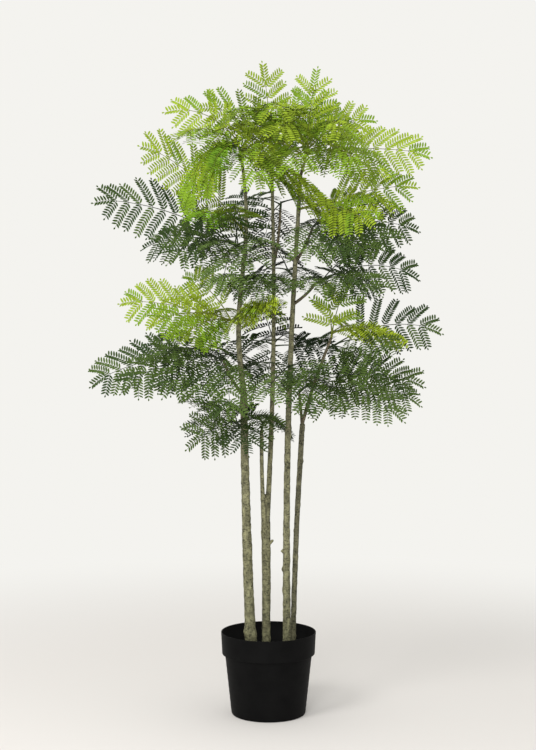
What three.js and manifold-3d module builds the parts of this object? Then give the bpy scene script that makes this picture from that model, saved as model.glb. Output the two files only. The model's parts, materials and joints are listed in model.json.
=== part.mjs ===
// Potted artificial jacaranda: four moulded stems in a black pot, with sprays of feathery fronds.
// Millimetres and degrees, +Z up, +X to the right and -Y to the front.
// The origin is the centre of the pot's underside.
// Headings turn anticlockwise seen from above: 0 is right, 90 back, 180 left and 270 front.
import * as THREE from 'three';
import { mergeVertices } from 'three/addons/utils/BufferGeometryUtils.js';
import Module from 'manifold-3d';

const wasm = await Module();
wasm.setup();

// Clear gap between two pieces that meet, and the finest facet that is kept.
const GAP = 0.3;
const SLIVER = 0.05;

// Pot: a tapered bucket with a deep band round its mouth.
const POT_HEIGHT = 230;
const POT_FOOT_RADIUS = 103;
const POT_BODY_RADIUS = 121;
const POT_MOUTH_RADIUS = 132;
const POT_BAND_HEIGHT = 62;
const POT_BAND_TAPER = 3;
const POT_WALL = 3;
const POT_FLOOR = 4;
const POT_FOOT_ROUND = 5;
const POT_SIDES = 36;

// The pot is filled to here, and the stems stand on the filling.
const GROUND = 165;

// Limbs. A stem flares where it meets the ground.
const STEM_SIDES = 8;
const STEM_STEPS = 9;
const BOUGH_SIDES = 6;
const BOUGH_STEPS = 5;
const STEM_CUT = 8;
const FLARE = 0.16;
const FLARE_HEIGHT = 30;

// Fronds: a rib with pairs of blades, each blade one pinna of small leaflets.
// Blades lean further forward and shorten towards the tip, and those of a level frond hang more.
// Each tint has its own angles at the first pair and at the tip.
const FROND_LENGTH = 295;
const RIB_RADIUS = 2.3;
const RIB_TIP_RADIUS = 1.1;
const RIB_STEPS = 4;
const PETIOLE_SHARE = 0.29;
const BLADE_SPACING = 42;
const BLADE_ANGLES = { lime: [58, 40], dark: [68, 50] };
const BLADE_LENGTH = 98;
const BLADE_GROWTH = 0.15;
const BLADE_WIDTH = 25;
const BLADE_THICK = 1.6;
const BLADE_WIDEST = 0.45;
const BLADE_THICKEST = 0.12;
const BLADE_ROOT = 0.8;
const BLADE_SAG = 0.08;
const BLADE_HANG = 0.22;
const BLADE_TILT = 0.16;
const LAST_BLADE_SHARE = 0.62;
const LAST_PAIR_BACK = 0.45;
const LAST_BLADE_AT = 0.97;
const TWIG_RADIUS = 3.6;
const TWIG_TIP_RADIUS = 2.8;
const TWIG_SIDES = 3;
const NODE_SPACING = 7;
const FIRST_NODE = 0.4;

// How far the seeded rule varies a blade's angle, in degrees, and its length, as a share.
const VARY_ANGLE = 5;
const VARY_LENGTH = 0.07;
// How much thicker a blade counts when the room round it is tested.
const ROOM = 1.3;

const COLOURS = {
  pot: { color: 0x17181a, roughness: 0.55 },
  fill: { color: 0x1b1a18, roughness: 0.95 },
  bark: { color: 0x77704f, roughness: 0.85 },
  lime: { color: 0x7da32a, roughness: 0.5 },
  dark: { color: 0x2f5236, roughness: 0.5 },
};

// Stems run from the ground to their fork or tip. bow is the sideways swell at mid height.
const STEMS = [
  { name: 'stem_left', foot: [-47, -28], tip: [-68, -34, 898], bow: [-3, 0], radius: [15.5, 9.5] },
  { name: 'stem_middle', foot: [-7, 4], tip: [-9, 6, 612], bow: [2, 0], radius: [11.2, 13] },
  { name: 'stem_right', foot: [51, -34], tip: [88, -20, 1492], bow: [-15, -4], radius: [11, 5] },
  { name: 'stem_far_right', foot: [68, 32], tip: [95, 44, 808], bow: [-4, 2], radius: [7.5, 7.5] },
];

// Boughs grow from a limb at a share of its length. sway is the size of an S-bend, bow of a plain one.
const BOUGHS = [
  { name: 'leader_left', from: 'stem_left', at: 1,
    tip: [-74, -36, 1540], bow: [0, 0], sway: -12, radius: [8, 4] },
  { name: 'bough_left', from: 'stem_left', at: 0.985,
    tip: [-124, -52, 988], bow: [-6, 0], sway: 0, radius: [5, 3.8] },
  { name: 'stub_middle', from: 'stem_middle', at: 0.68,
    tip: [13, -4, 486], bow: [0, 0], sway: 0, radius: [6.4, 3.2] },
  { name: 'leader_middle', from: 'stem_middle', at: 0.7,
    tip: [8, 34, 1565], bow: [13, 0], sway: 0, radius: [7.6, 4] },
  { name: 'bough_middle', from: 'stem_middle', at: 0.7,
    tip: [-19, -26, 795], bow: [-4, -6], sway: 0, radius: [6.4, 5] },
  { name: 'bough_middle_top', from: 'leader_middle', at: 0.705,
    tip: [33, 62, 1404], bow: [4, 6], sway: 0, radius: [4.2, 3.4] },
  { name: 'bough_right_low', from: 'stem_right', at: 0.735,
    tip: [128, -44, 1196], bow: [6, 0], sway: 0, radius: [4.4, 3.4] },
  { name: 'bough_right_high', from: 'stem_right', at: 0.82,
    tip: [122, 18, 1352], bow: [4, 6], sway: 0, radius: [4.4, 3.4] },
  { name: 'bough_top_up', from: 'stem_right', at: 1,
    tip: [98, -14, 1524], bow: [0, 0], sway: 0, radius: [4.4, 3.6] },
  { name: 'bough_far_right', from: 'stem_far_right', at: 1,
    tip: [174, 16, 1046], bow: [-4, 4], sway: 0, radius: [5.2, 3.8] },
  { name: 'bough_far_left', from: 'stem_far_right', at: 0.985,
    tip: [86, 64, 892], bow: [0, 6], sway: 0, radius: [4.4, 3.6] },
];

// Sprays: a twig leaves its limb at a share of the limb's length and carries fronds at its end.
// Each frond is [heading, rise, droop, roll, share of the full length].
const SPRAYS = [
  { name: 'spray_left_foot', limb: 'stem_left', at: 0.86,
    heading: 200, rise: 40, reach: 42, tint: 'dark',
    fronds: [[219, -11, 14, -75, 0.42], [282, 8, 44, 0, 0.52], [118, 12, 44, 30, 0.8]] },
  { name: 'spray_left_low', limb: 'bough_left', at: 1,
    heading: 190, rise: 20, reach: 36, tint: 'dark',
    fronds: [[180, 4, 30, -66, 1.02], [210, 4, 36, -50, 0.86], [148, 27, 40, -40, 0.8],
      [257, -1, 44, -8, 0.66]] },
  { name: 'spray_left_mid', limb: 'leader_left', at: 0.29,
    heading: 196, rise: 24, reach: 34, tint: 'lime',
    fronds: [[170, 19, 16, -74, 0.9], [239, 10, 36, -40, 0.73], [212, 23, 40, -52, 0.75]] },
  { name: 'spray_left_inner', limb: 'leader_left', at: 0.31,
    heading: 40, rise: 30, reach: 30, tint: 'lime',
    fronds: [[299, 23, 24, 10, 0.6], [112, 20, 40, 10, 0.8]] },
  { name: 'spray_left_high', limb: 'leader_left', at: 0.6,
    heading: 200, rise: 30, reach: 48, tint: 'dark',
    fronds: [[197, 33, 30, -70, 1.2], [153, 17, 30, -50, 0.85], [262, -6, 40, -10, 0.75],
      [112, 18, 36, 20, 0.85]] },
  { name: 'spray_left_front', limb: 'leader_left', at: 0.47,
    heading: 330, rise: 20, reach: 26, tint: 'dark',
    fronds: [[301, 5, 20, 24, 0.62], [281, 11, 40, 8, 0.6]] },
  { name: 'spray_left_upper', limb: 'leader_left', at: 0.66,
    heading: 200, rise: 60, reach: 30, tint: 'lime',
    fronds: [[208, 52, 28, -78, 1.1], [239, 39, 60, -14, 0.75]] },
  { name: 'spray_left_top', limb: 'leader_left', at: 1,
    heading: 210, rise: 74, reach: 42, tint: 'lime',
    fronds: [[180, 58, 55, -68, 0.61], [231, 29, 50, -14, 0.75], [256, 4, 34, -4, 0.8],
      [64, 40, 50, 56, 0.85], [346, -10, 46, 15, 1.1]] },
  { name: 'spray_middle_foot', limb: 'bough_middle', at: 1,
    heading: 300, rise: 70, reach: 26, tint: 'dark',
    fronds: [[150, 26, 44, -30, 0.55], [258, 29, 60, 0, 0.3], [78, 20, 44, 24, 0.8]] },
  { name: 'spray_middle_mid', limb: 'leader_middle', at: 0.495,
    heading: 80, rise: 40, reach: 30, tint: 'dark',
    fronds: [[70, 20, 40, 20, 0.9], [150, 14, 40, -30, 0.8], [10, 6, 30, 40, 0.7]] },
  { name: 'spray_middle_high', limb: 'bough_middle_top', at: 1,
    heading: 80, rise: 60, reach: 24, tint: 'dark',
    fronds: [[36, 18, 40, 34, 0.85], [126, 22, 44, -30, 0.9]] },
  { name: 'spray_middle_top', limb: 'leader_middle', at: 1,
    heading: 120, rise: 78, reach: 40, tint: 'lime',
    fronds: [[180, 88, 6, -62, 0.52], [204, 42, 34, -89, 0.62], [338, 46, 30, 91, 0.6],
      [30, 38, 44, 67, 0.85], [262, 20, 60, 0, 0.75]] },
  { name: 'spray_right_foot', limb: 'stem_right', at: 0.6,
    heading: 262, rise: 30, reach: 30, tint: 'dark',
    fronds: [[245, -16, 12, -6, 0.55], [288, -4, 44, 16, 0.62]] },
  { name: 'spray_right_low', limb: 'bough_right_low', at: 1,
    heading: 10, rise: 20, reach: 30, tint: 'dark',
    fronds: [[20, 31, 50, 64, 0.85], [305, 16, 40, 36, 0.75], [52, 22, 44, 40, 0.85]] },
  { name: 'spray_right_high', limb: 'bough_right_high', at: 1,
    heading: 20, rise: 40, reach: 30, tint: 'dark',
    fronds: [[18, 5, 14, 70, 0.86], [317, 1, 30, 44, 0.8], [84, 20, 46, 10, 0.9]] },
  { name: 'spray_right_back', limb: 'stem_right', at: 0.79,
    heading: 130, rise: 36, reach: 40, tint: 'dark',
    fronds: [[122, 10, 36, -40, 0.85], [74, 16, 40, 0, 0.85]] },
  { name: 'spray_right_top', limb: 'bough_top_up', at: 1,
    heading: 20, rise: 78, reach: 42, tint: 'lime',
    fronds: [[0, 88, 8, 62, 0.58], [0, 7, 14, 72, 1], [319, 12, 50, 30, 0.9], [262, 24, 66, 0, 0.8],
      [110, 38, 50, -55, 0.9]] },
  { name: 'spray_right_edge', limb: 'stem_right', at: 0.93,
    heading: 350, rise: 12, reach: 44, tint: 'lime',
    fronds: [[5, 19, 12, 62, 0.84], [310, 1, 24, 50, 0.72]] },
  { name: 'spray_far_low', limb: 'bough_far_left', at: 1,
    heading: 10, rise: 40, reach: 36, tint: 'dark',
    fronds: [[0, 21, 36, 60, 0.98], [337, 7, 40, 40, 0.9], [287, 11, 40, 14, 0.75],
      [66, 22, 48, 20, 0.85]] },
  { name: 'spray_far_lime', limb: 'bough_far_right', at: 1,
    heading: 60, rise: 74, reach: 22, tint: 'lime',
    fronds: [[0, 80, 10, 90, 0.34], [322, 21, 44, 18, 0.7]] },
  { name: 'spray_far_dark', limb: 'bough_far_right', at: 0.88,
    heading: 350, rise: 24, reach: 30, tint: 'dark',
    fronds: [[0, 34, 46, 62, 0.88], [120, 16, 40, -30, 0.8], [304, 2, 40, 14, 0.7]] },
];

const radians = THREE.MathUtils.degToRad;
const RIGHT = new THREE.Vector3(1, 0, 0);
const UP = new THREE.Vector3(0, 0, 1);

// The seeded rule: a number from -1 to 1 that is always the same for the same seed.
function vary(seed) {
  const wave = Math.sin(seed * 12.9898) * 43758.5453;
  return 2 * (wave - Math.floor(wave)) - 1;
}

function direction(heading, rise) {
  const h = radians(heading);
  const r = radians(rise);
  return new THREE.Vector3(Math.cos(r) * Math.cos(h), Math.cos(r) * Math.sin(h), Math.sin(r));
}

// A closed geometry as a solid, with its shared corners merged.
function solidOf(geometry) {
  geometry.deleteAttribute('normal');
  geometry.deleteAttribute('uv');
  const merged = mergeVertices(geometry, 1e-4);
  const vertProperties = merged.attributes.position.array;
  const triVerts = new Uint32Array(merged.index.array);
  return new wasm.Manifold(new wasm.Mesh({ numProp: 3, vertProperties, triVerts }));
}

function geometryOf(solid) {
  const mesh = solid.getMesh();
  const geometry = new THREE.BufferGeometry();
  geometry.setAttribute('position', new THREE.BufferAttribute(mesh.vertProperties, 3));
  geometry.setIndex(new THREE.BufferAttribute(mesh.triVerts, 1));
  geometry.computeVertexNormals();
  return geometry;
}

function largestPiece(solid) {
  return solid.decompose().sort((a, b) => b.volume() - a.volume())[0];
}

function meshOf(name, geometry, finish) {
  const mesh = new THREE.Mesh(geometry, new THREE.MeshStandardMaterial(COLOURS[finish]));
  mesh.name = name;
  return mesh;
}

// Bends a unit cylinder along an axis.
// axis(t) and radius(t) run from t = 0 at the foot to t = 1 at the tip.
// sideways(t) is roughly square to the axis.
function tube(axis, radius, sideways, sides, steps) {
  const geometry = new THREE.CylinderGeometry(1, 1, 1, sides, steps);
  const position = geometry.attributes.position;
  const corner = new THREE.Vector3();
  for (let i = 0; i < position.count; i += 1) {
    const t = position.getY(i) + 0.5;
    const tangent = axis(t + 0.01).sub(axis(t - 0.01)).normalize();
    const side = sideways(t).clone();
    side.addScaledVector(tangent, -side.dot(tangent)).normalize();
    const other = side.clone().cross(tangent);
    corner.copy(axis(t));
    corner.addScaledVector(side, position.getX(i) * radius(t));
    corner.addScaledVector(other, position.getZ(i) * radius(t));
    position.setXYZ(i, corner.x, corner.y, corner.z);
  }
  return solidOf(geometry);
}

// A limb's axis: the straight line from foot to tip, with a bow and an S-bend added.
function limbAxis(foot, tip, bow, sway) {
  return (t) => {
    const swell = Math.sin(Math.PI * t);
    const bend = sway * Math.sin(2 * Math.PI * t);
    return foot.clone().lerp(tip, t).add(new THREE.Vector3(bow[0] * swell + bend, bow[1] * swell, 0));
  };
}

function limbRadius([foot, tip], length, flare) {
  return (t) => foot + (tip - foot) * t + flare * foot * Math.exp((-t * length) / FLARE_HEIGHT);
}

const limbs = new Map();

// Keeps a limb with its solid, and a copy that is one gap thicker and longer for cutting what meets it.
function addLimb(name, axis, radius, sides, steps, cutter) {
  const length = axis(1).distanceTo(axis(0));
  const toRight = () => RIGHT;
  const longer = (t) => axis(t * (1 + GAP / length));
  const thick = tube(longer, (t) => radius(t) + GAP, toRight, sides, steps);
  const whole = tube(axis, radius, toRight, sides, steps);
  limbs.set(name, { axis, radius, thick, solid: largestPiece(whole.subtract(cutter)) });
}

// Stems start a little below the ground and are cut flat at its surface.
const below = new THREE.BoxGeometry(2 * POT_BODY_RADIUS, 2 * POT_BODY_RADIUS, GROUND);
const ground = solidOf(below.translate(0, 0, GROUND / 2 + GAP));
for (const { name, foot, tip, bow, radius } of STEMS) {
  const base = new THREE.Vector3(...foot, GROUND - STEM_CUT);
  const top = new THREE.Vector3(...tip);
  const grow = limbRadius(radius, top.distanceTo(base), FLARE);
  addLimb(name, limbAxis(base, top, bow, 0), grow, STEM_SIDES, STEM_STEPS, ground);
}
for (const { name, from, at, tip, bow, sway, radius } of BOUGHS) {
  const base = limbs.get(from).axis(at);
  const top = new THREE.Vector3(...tip);
  const earlier = wasm.Manifold.union([...limbs.values()].map((limb) => limb.thick));
  const grow = limbRadius(radius, 1, 0);
  addLimb(name, limbAxis(base, top, bow, sway), grow, BOUGH_SIDES, BOUGH_STEPS, earlier);
}

// A frond's rib is an arc in an upright plane, drawn as a few straight steps.
// rib(t) gives its axis, and frame(t) its tangent, side and face.
function frondRib(base, [heading, rise, droop, roll, share], tint) {
  const seed = heading + rise;
  const sag = BLADE_SAG + BLADE_HANG * Math.cos(radians(roll)) ** 2;
  const length = FROND_LENGTH * share;
  const start = radians(rise);
  const bend = radians(droop);
  const ahead = direction(heading, 0);
  const arc = (t) => {
    const pitch = start - bend * t;
    const out = (length / bend) * (Math.sin(start) - Math.sin(pitch));
    const up = (length / bend) * (Math.cos(pitch) - Math.cos(start));
    return base.clone().addScaledVector(ahead, out).addScaledVector(UP, up);
  };
  const rib = (t) => {
    const step = THREE.MathUtils.clamp(Math.floor(t * RIB_STEPS), 0, RIB_STEPS - 1);
    return arc(step / RIB_STEPS).lerp(arc((step + 1) / RIB_STEPS), t * RIB_STEPS - step);
  };
  const frame = (t) => {
    const tangent = direction(heading, rise - droop * t);
    const level = UP.clone().cross(ahead);
    const top = tangent.clone().cross(level);
    const side = level.clone().multiplyScalar(Math.cos(radians(roll)));
    side.addScaledVector(top, Math.sin(radians(roll)));
    return { tangent, side, face: tangent.clone().cross(side) };
  };
  return { rib, frame, share, seed, sag, angles: BLADE_ANGLES[tint] };
}

// One pinna: a thin eight-faced blade.
// One of its corners is the root, one the tip, two the edges and two the faces.
function blade({ root, along, face, length }, grow = 1) {
  const geometry = new THREE.OctahedronGeometry(1);
  const position = geometry.attributes.position;
  const across = along.clone().cross(face).normalize();
  const normal = across.clone().cross(along);
  const width = BLADE_WIDTH * Math.min(1, length / BLADE_LENGTH + 0.2) * grow;
  const corner = new THREE.Vector3();
  for (let i = 0; i < position.count; i += 1) {
    const x = position.getX(i);
    const y = position.getY(i);
    const z = position.getZ(i);
    const reach = Math.abs(x) * BLADE_WIDEST + Math.abs(z) * BLADE_THICKEST + Math.max(y, 0);
    corner.copy(root).addScaledVector(along, length * reach - BLADE_ROOT);
    corner.addScaledVector(across, x * width * 0.5);
    corner.addScaledVector(normal, z * BLADE_THICK * 0.5 * grow);
    position.setXYZ(i, corner.x, corner.y, corner.z);
  }
  return solidOf(geometry);
}

// Where the blades of a frond stand: pairs along the rib, shorter to the tip, and one at the end.
function bladePlaces({ rib, frame, share, seed, sag, angles }) {
  const places = [];
  const pairs = Math.round((FROND_LENGTH * share * (1 - PETIOLE_SHARE)) / BLADE_SPACING);
  for (let pair = 0; pair < pairs; pair += 1) {
    const along = pair / (pairs - LAST_PAIR_BACK);
    const t = PETIOLE_SHARE + (1 - PETIOLE_SHARE) * along;
    const { tangent, side, face } = frame(t);
    const down = tangent.clone().multiplyScalar(tangent.z).sub(UP);
    const lean = THREE.MathUtils.lerp(...angles, along);
    const full = BLADE_LENGTH * share ** BLADE_GROWTH * (1 - (1 - LAST_BLADE_SHARE) * along ** 3);
    for (const hand of [-1, 1]) {
      const chance = vary(seed + along + 0.1 * hand);
      const angle = radians(lean + VARY_ANGLE * chance);
      const out = tangent.clone().multiplyScalar(Math.cos(angle));
      out.addScaledVector(side, hand * Math.sin(angle));
      out.addScaledVector(down, sag);
      out.addScaledVector(face, BLADE_TILT * vary(seed + 2 * along + 0.3 * hand)).normalize();
      places.push({ root: rib(t), along: out, face, length: full * (1 + VARY_LENGTH * chance) });
    }
  }
  const { tangent, face } = frame(1);
  places.push({ root: rib(LAST_BLADE_AT), along: tangent, face, length: BLADE_LENGTH * LAST_BLADE_SHARE });
  return places;
}

// Twig and ribs of every spray come first, so that each spray's blades can keep clear of all the others.
const sprays = SPRAYS.map(({ name, limb, at, heading, rise, reach, tint, fronds }) => {
  const carrier = limbs.get(limb);
  const base = carrier.axis(at);
  const ahead = direction(heading, rise);
  const twigAxis = (t) => base.clone().addScaledVector(ahead, reach * t);
  const twigRadius = (t) => TWIG_RADIUS + (TWIG_TIP_RADIUS - TWIG_RADIUS) * t;
  const level = UP.clone().cross(ahead);
  const twig = tube(twigAxis, twigRadius, () => level, TWIG_SIDES, 1);
  const foot = (i) => twigAxis(1 - ((i + FIRST_NODE) * NODE_SPACING) / reach);
  const ribs = fronds.map((frond, i) => frondRib(foot(i), frond, tint));
  const ribRadius = (t) => RIB_RADIUS + (RIB_TIP_RADIUS - RIB_RADIUS) * t;
  const bar = ({ rib, frame }) => tube(rib, ribRadius, (t) => frame(t).side, TWIG_SIDES, RIB_STEPS);
  const bare = wasm.Manifold.union([twig, ...ribs.map(bar)]).subtract(carrier.thick);
  return { name, tint, ribs, solid: largestPiece(bare) };
});

// A blade that would touch a limb or another spray is left out.
for (const spray of sprays) {
  const others = [...limbs.values(), ...sprays.filter((s) => s !== spray)].map((other) => other.solid);
  const kept = [];
  for (const place of spray.ribs.flatMap(bladePlaces)) {
    const room = blade(place, ROOM);
    if (others.every((other) => room.intersect(other).isEmpty())) kept.push(blade(place));
  }
  spray.solid = largestPiece(wasm.Manifold.union([spray.solid, ...kept]).simplify(SLIVER));
}

// The pot's wall in section, from the middle of its underside out, up, over the lip and down the inside.
function potSection() {
  const bandFoot = POT_HEIGHT - POT_BAND_HEIGHT;
  const bandRadius = POT_MOUTH_RADIUS - POT_BAND_TAPER;
  const outside = [
    [0, 0],
    [POT_FOOT_RADIUS - POT_FOOT_ROUND, 0],
    [POT_FOOT_RADIUS, POT_FOOT_ROUND],
    [POT_BODY_RADIUS, bandFoot],
    [bandRadius, bandFoot + POT_WALL],
    [POT_MOUTH_RADIUS, POT_HEIGHT],
  ];
  const inside = [
    [POT_MOUTH_RADIUS - POT_WALL, POT_HEIGHT],
    [bandRadius - POT_WALL, bandFoot + 2 * POT_WALL],
    [POT_BODY_RADIUS - POT_WALL, bandFoot + POT_WALL],
    [POT_FOOT_RADIUS - POT_WALL, POT_FLOOR],
    [0, POT_FLOOR],
  ];
  return [...outside, ...inside].map(([r, z]) => new THREE.Vector2(r, z));
}

// The filling in section, clear of the pot's wall and floor.
function fillSection() {
  const rise = POT_HEIGHT - POT_BAND_HEIGHT + POT_WALL - POT_FLOOR;
  const slope = (POT_BODY_RADIUS - POT_FOOT_RADIUS) / rise;
  const inner = (z) => POT_FOOT_RADIUS - POT_WALL + slope * (z - POT_FLOOR) - 2 * GAP;
  const floor = POT_FLOOR + GAP;
  const corners = [[0, floor], [inner(floor), floor], [inner(GROUND), GROUND], [0, GROUND]];
  return corners.map(([r, z]) => new THREE.Vector2(r, z));
}

function turned(section) {
  return new THREE.LatheGeometry(section, POT_SIDES).rotateX(Math.PI / 2);
}

const tree = new THREE.Group();
tree.name = 'potted_jacaranda';
tree.add(meshOf('pot', turned(potSection()), 'pot'));
tree.add(meshOf('pot_fill', turned(fillSection()), 'fill'));
for (const [name, { solid }] of limbs) tree.add(meshOf(name, geometryOf(solid), 'bark'));
for (const { name, tint, solid } of sprays) tree.add(meshOf(name, geometryOf(solid), tint));

export default tree;
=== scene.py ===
"""Looks of the potted artificial jacaranda: moulded bark, feathery fronds and a matt black pot.

Sizes are in millimetres and degrees, in the frame of the solids, and turn to metres as each mesh
is made. Headings turn anticlockwise seen from above: 0 is right, 90 back, 180 left and 270 front.
"""
import json
import math

import bpy
import numpy as np
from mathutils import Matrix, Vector

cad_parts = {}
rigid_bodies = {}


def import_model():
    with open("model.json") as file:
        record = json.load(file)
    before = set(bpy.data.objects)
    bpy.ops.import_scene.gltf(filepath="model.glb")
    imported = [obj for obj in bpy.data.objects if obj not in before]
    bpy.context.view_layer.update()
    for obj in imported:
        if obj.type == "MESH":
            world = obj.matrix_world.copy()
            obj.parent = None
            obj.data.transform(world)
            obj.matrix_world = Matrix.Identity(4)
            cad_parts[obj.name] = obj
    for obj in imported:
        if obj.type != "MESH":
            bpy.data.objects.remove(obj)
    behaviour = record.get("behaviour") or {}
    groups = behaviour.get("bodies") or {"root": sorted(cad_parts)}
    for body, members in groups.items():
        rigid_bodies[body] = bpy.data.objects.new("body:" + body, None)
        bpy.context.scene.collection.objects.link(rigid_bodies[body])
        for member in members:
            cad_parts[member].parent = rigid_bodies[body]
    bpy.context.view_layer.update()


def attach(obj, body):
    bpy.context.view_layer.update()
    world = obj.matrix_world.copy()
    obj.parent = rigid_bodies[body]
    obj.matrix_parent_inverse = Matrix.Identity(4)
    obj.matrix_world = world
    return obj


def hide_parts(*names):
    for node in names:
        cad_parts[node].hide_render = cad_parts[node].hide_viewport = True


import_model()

MM = 0.001
UP = np.array([0.0, 0.0, 1.0])
RIGHT = np.array([1.0, 0.0, 0.0])

# Pot, as in the solids, with the small radii and the faint ripples of its moulding.
POT_HEIGHT = 230
POT_FOOT_RADIUS = 103
POT_BODY_RADIUS = 121
POT_MOUTH_RADIUS = 132
POT_BAND_HEIGHT = 62
POT_BAND_TAPER = 3
POT_WALL = 3
POT_FLOOR = 4
POT_FOOT_ROUND = 5
POT_FOOT_EDGE = 12
POT_LIP_ROUND = 1.4
POT_RIPPLE = 0.25
POT_RIPPLES = 9
POT_BODY_SHARES = (0.06, 0.97)
POT_BODY_RINGS = 24
BAND_FILLET = 1.2
BAND_FILLET_DROP = 0.6
BAND_ROUND = 1.4
BAND_ROUND_RISE = 2.2
BAND_EDGE = 3
BAND_SHARES = (0.1, 0.96)
BAND_RINGS = 10
POT_SEGMENTS = 144
AXIS_RADIUS = 0.01

# Filling, with the top as the ground that the stems stand in.
GROUND = 165
GAP = 0.3
FILL_EDGE_DROP = 0.2
FILL_RIM_SHARE = 0.98
FILL_RINGS = 40
FILL_LUMP_DEPTH = 1.2
FILL_LUMP_SIZE = 14
FILL_SEED = 300

# Limbs.
STEM_CUT = 8
FLARE = 0.16
FLARE_HEIGHT = 30
RING_SPACING = 2.2
LEAST_RINGS = 8
STEM_SEGMENTS = 44
BOUGH_SEGMENTS = 24
TIP_ROUND = 0.9
TIP_CLOSING = 0.75
LIMB_SAMPLES = 80

# Relief of the bark: the size of each kind, how far it stands out, and its share on thin limbs.
GROOVE_SIZE = (5.0, 5.0, 30.0)
LUMP_SIZE = (11.0, 11.0, 12.0)
GRAIN_SIZE = (3.4, 3.4, 4.2)
GROOVE_DEPTH = 0.25
GROUND_GROOVE_DEPTH = 0.9
GROUND_GROOVE_HEIGHT = 110
LUMP_DEPTH = 0.7
GRAIN_DEPTH = 0.4
STEM_ROUGHNESS = 1.0
BOUGH_ROUGHNESS = 0.8
FULL_ROUGH_RADIUS = 9
ROUGH_SHARES = (0.35, 1.2)
STEM_SEED = 10
BOUGH_SEED = 60
SEED_STEP = 5

# Knots at the nodes that wind up each limb.
NODE_RISE = 74
NODE_TURN = 137
FIRST_KNOT = 0.7
KNOT_HEIGHT = 1.3
KNOT_VARY = 0.6
KNOT_SIZE = 8
KNOT_FLATNESS = 0.7
FULL_KNOT_RADIUS = 8
KNOT_SHARES = (0.3, 1)
# Larger knots: limb, height above the floor, heading, how far it stands out, and its size.
KNOTS = [
    ("stem_right", 460, 196, 7.0, 6.5), ("stem_right", 410, 190, 3.6, 9),
    ("stem_right", 352, 188, 2.6, 15), ("stem_right", 782, 270, 1.6, 16),
    ("stem_right", 792, 20, 1.4, 14), ("stem_left", 470, 330, 1.8, 16),
    ("stem_left", 236, 200, 3.2, 20), ("stem_left", 226, 330, 3.2, 20),
    ("stem_left", 860, 170, 2.5, 20), ("leader_middle", 812, 190, 2.6, 8),
    ("leader_middle", 770, 10, 1.5, 14), ("stem_far_right", 700, 350, 2.2, 8),
]

STEMS = [
    dict(name="stem_left", foot=(-47, -28), tip=(-68, -34, 898), bow=(-3, 0), radius=(15.5, 9.5)),
    dict(name="stem_middle", foot=(-7, 4), tip=(-9, 6, 612), bow=(2, 0), radius=(11.2, 13)),
    dict(name="stem_right", foot=(51, -34), tip=(88, -20, 1492), bow=(-15, -4), radius=(11, 5)),
    dict(name="stem_far_right", foot=(68, 32), tip=(95, 44, 808), bow=(-4, 2), radius=(7.5, 7.5)),
]

BOUGHS = [
    dict(name="leader_left", parent="stem_left", at=1,
         tip=(-74, -36, 1540), bow=(0, 0), sway=-12, radius=(8, 4)),
    dict(name="bough_left", parent="stem_left", at=0.985,
         tip=(-124, -52, 988), bow=(-6, 0), sway=0, radius=(5, 3.8)),
    dict(name="stub_middle", parent="stem_middle", at=0.68,
         tip=(13, -4, 486), bow=(0, 0), sway=0, radius=(6.4, 3.2)),
    dict(name="leader_middle", parent="stem_middle", at=0.7,
         tip=(8, 34, 1565), bow=(13, 0), sway=0, radius=(7.6, 4)),
    dict(name="bough_middle", parent="stem_middle", at=0.7,
         tip=(-19, -26, 795), bow=(-4, -6), sway=0, radius=(6.4, 5)),
    dict(name="bough_middle_top", parent="leader_middle", at=0.705,
         tip=(33, 62, 1404), bow=(4, 6), sway=0, radius=(4.2, 3.4)),
    dict(name="bough_right_low", parent="stem_right", at=0.735,
         tip=(128, -44, 1196), bow=(6, 0), sway=0, radius=(4.4, 3.4)),
    dict(name="bough_right_high", parent="stem_right", at=0.82,
         tip=(122, 18, 1352), bow=(4, 6), sway=0, radius=(4.4, 3.4)),
    dict(name="bough_top_up", parent="stem_right", at=1,
         tip=(98, -14, 1524), bow=(0, 0), sway=0, radius=(4.4, 3.6)),
    dict(name="bough_far_right", parent="stem_far_right", at=1,
         tip=(174, 16, 1046), bow=(-4, 4), sway=0, radius=(5.2, 3.8)),
    dict(name="bough_far_left", parent="stem_far_right", at=0.985,
         tip=(86, 64, 892), bow=(0, 6), sway=0, radius=(4.4, 3.6)),
]

# Twigs and ribs.
TWIG_RADIUS = 3.6
TWIG_TIP_RADIUS = 2.8
TWIG_RINGS = 6
TWIG_SEGMENTS = 8
NODE_SPACING = 7
FIRST_NODE = 0.4
FIRST_FINER_NODE = 0.9
FINER_NODE_STEP = 0.7
FROND_LENGTH = 295
PETIOLE_SHARE = 0.29
RIB_RADIUS = 2.0
RIB_TIP_RADIUS = 0.7
RIB_SWELL = 1.1
RIB_SWELL_FADE = 30
RIB_RINGS = 26
RIB_SEGMENTS = 6

# Pinnae.
PINNA_SPACING = 30
PINNA_ANGLES = {"lime": (58, 40), "dark": (68, 50)}
PINNA_LENGTH = 98
PINNA_GROWTH = 0.15
PINNA_TILT = 0.16
PINNA_SAG = 0.08
PINNA_HANG = 0.22
PINNA_BEND = 0.22
PINNA_FOLD = 0.32
PINNA_RADII = (0.75, 0.35)
PINNA_RINGS = 6
PINNA_SEGMENTS = 3
PINNA_CLEARANCE = 1.5
FOLDED_PETIOLE_SHARE = 0.1
FOLDED_TURN = 20
LAST_PAIR_BACK = 0.45
LAST_PINNA_SHARE = 0.62
LAST_PINNA_AT = 0.97
VARY_ANGLE = 5
VARY_LENGTH = 0.07

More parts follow.
